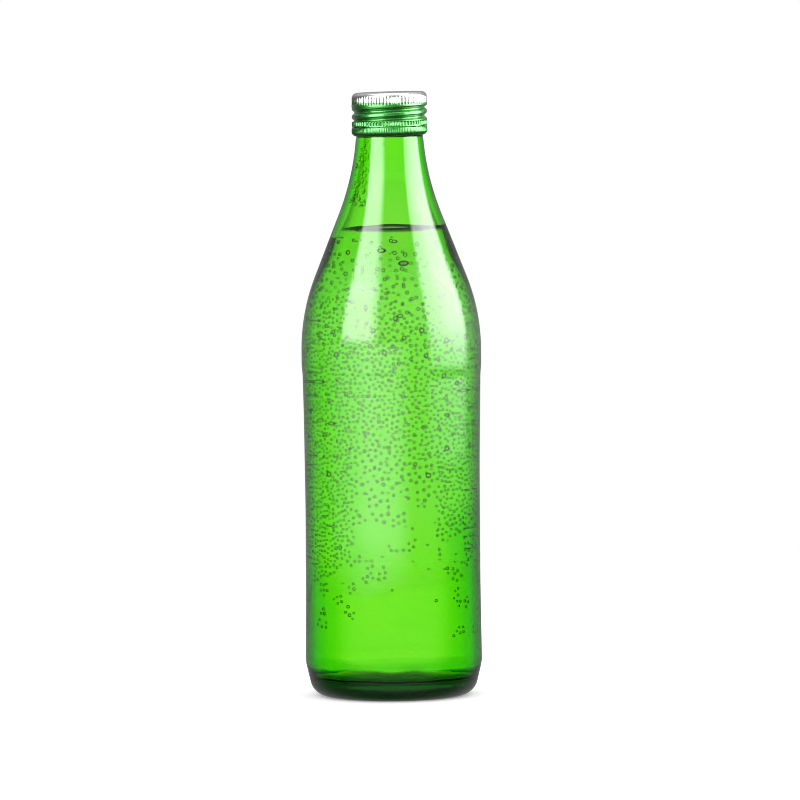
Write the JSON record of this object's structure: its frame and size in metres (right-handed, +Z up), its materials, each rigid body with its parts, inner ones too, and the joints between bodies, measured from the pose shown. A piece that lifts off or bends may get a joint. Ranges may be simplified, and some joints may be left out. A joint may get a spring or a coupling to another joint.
{
  "type": "glass soda bottle",
  "caption": "Green long-necked glass soda bottle, filled, with a roll-on aluminium screw cap, sealing liner and tamper-evident band.",
  "frame": {"origin": "centre of the base, on the surface that the bottle stands on", "axes": "+Z up along the bottle's axis, -Y towards the front, +X to the front view's right"},
  "size_m": [0.0676, 0.0676, 0.2268],
  "materials": {
    "green_glass": "polished",
    "drink": "polished",
    "green_lacquer": "satin",
    "silver_lacquer": "satin",
    "seal": "satin"
  },
  "bodies": {
    "bottle": {"bottle_glass": "green_glass", "soda": "drink"},
    "liner": {"cap_liner": "seal"},
    "cap": {"cap_shell": "green_lacquer"},
    "band": {"tamper_band": "green_lacquer"}
  },
  "joints": [
    {"name": "cap_lift", "type": "slide", "parent": "bottle", "child": "liner", "axis": [0, 0, 1], "range_m": [0, 0.01588]},
    {"name": "cap_turn", "type": "hinge", "parent": "liner", "child": "cap", "pos_m": [0, 0, 0.2187], "axis": [0, 0, 1], "range_deg": [0, 1800]},
    {"name": "band_drop", "type": "slide", "parent": "bottle", "child": "band", "axis": [0, 0, 1], "range_m": [-0.0015, 0]}
  ],
  "couplings": [
    {"joint": "cap_lift", "follows": "cap_turn", "m_per_rad": 0.00050532}
  ]
}
